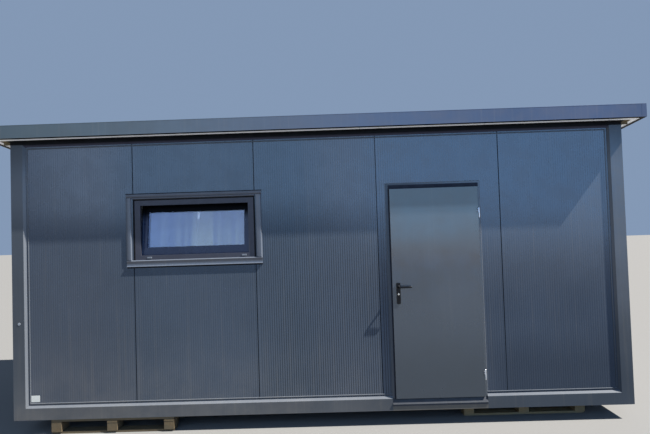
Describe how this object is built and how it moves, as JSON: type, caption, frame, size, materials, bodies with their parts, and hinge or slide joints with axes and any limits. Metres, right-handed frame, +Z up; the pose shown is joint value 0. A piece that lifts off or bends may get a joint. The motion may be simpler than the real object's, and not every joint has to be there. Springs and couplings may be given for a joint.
{
  "type": "portable site cabin",
  "caption": "Insulated site cabin on timber pallets, with a hinged steel door, a slot window leaning open at its head and a low single-pitch roof with a deep fascia.",
  "frame": {"origin": "middle of the plan, on the ground under the pallets", "axes": "+X along the long front from the window side to the door side, +Y from the front wall towards the rear wall, +Z up"},
  "size_m": [6.31, 2.71, 3.0046],
  "materials": {
    "pallet_timber": "weathered rough sawn softwood, greyed",
    "frame_steel": "anthracite satin paint on folded steel",
    "wall_panel_steel": "anthracite coated steel facing with fine upright ribs",
    "roof_panel_steel": "anthracite coated steel above, grey-white coated steel below",
    "flashing_steel": "anthracite coated folded sheet",
    "window_pvc": "anthracite foil on plastic window profile",
    "window_glass": "clear double glazing with a blue cast",
    "white_plastic": "white moulded plastic",
    "door_steel": "anthracite smooth satin paint",
    "sill_metal": "worn grey painted metal",
    "bright_steel": "zinc plated steel",
    "black_handle": "black satin door furniture",
    "joist_steel": "grey primed steel",
    "floor_board": "sealed floor board",
    "label_plate": "blank pale plate"
  },
  "bodies": {
    "cabin": {"base_rail_front_left": "frame_steel", "base_rail_front_right": "frame_steel", "base_rail_rear": "frame_steel", "base_rail_under_door": "frame_steel", "base_rails_sides": "frame_steel", "corner_posts": "frame_steel", "door_frame": "frame_steel", "door_hinge_frame_halves": "bright_steel", "door_sill": "sill_metal", "eaves_angles": "flashing_steel", "fascia_front": "flashing_steel", "fascia_rear": "flashing_steel", "fascia_sides": "flashing_steel", "floor_deck": "floor_board", "floor_joists": "joist_steel", "front_panel_1": "wall_panel_steel", "front_panel_2": "wall_panel_steel", "front_panel_3": "wall_panel_steel", "front_panel_4_left": "wall_panel_steel", "front_panel_4_over_door": "wall_panel_steel", "front_panel_4_right": "wall_panel_steel", "front_panel_5": "wall_panel_steel", "label_plate": "label_plate", "left_wall_panels": "wall_panel_steel", "pallet_blocks": "pallet_timber", "pallet_bottom_boards": "pallet_timber", "pallet_deck_boards": "pallet_timber", "pallet_stringer_boards": "pallet_timber", "post_plug": "white_plastic", "rear_wall_panels": "wall_panel_steel", "right_wall_panels": "wall_panel_steel", "roof_panels": "roof_panel_steel", "top_rail_front": "frame_steel", "top_rail_rear": "frame_steel", "top_rails_sides": "frame_steel", "window_frame": "window_pvc", "window_glass": "window_glass", "window_handle": "white_plastic", "window_sash": "window_pvc", "window_trim": "flashing_steel"},
    "door": {"door_leaf": "door_steel", "door_hinge_leaf_halves": "bright_steel", "handle_plates": "black_handle", "lock_cylinder": "bright_steel"},
    "door_handle": {"door_levers": "black_handle"}
  },
  "joints": [
    {"name": "door_swing", "type": "hinge", "parent": "cabin", "child": "door", "pos_m": [1.589, -1.203, 1.3], "axis": [0, 0, 1], "range_deg": [0, 110]},
    {"name": "door_lever_turn", "type": "hinge", "parent": "door", "child": "door_handle", "pos_m": [0.779, -1.187, 1.332], "axis": [0, 1, 0], "range_deg": [0, 40], "stiffness_Nm_per_rad": 0.4, "springref_deg": -20.05}
  ]
}
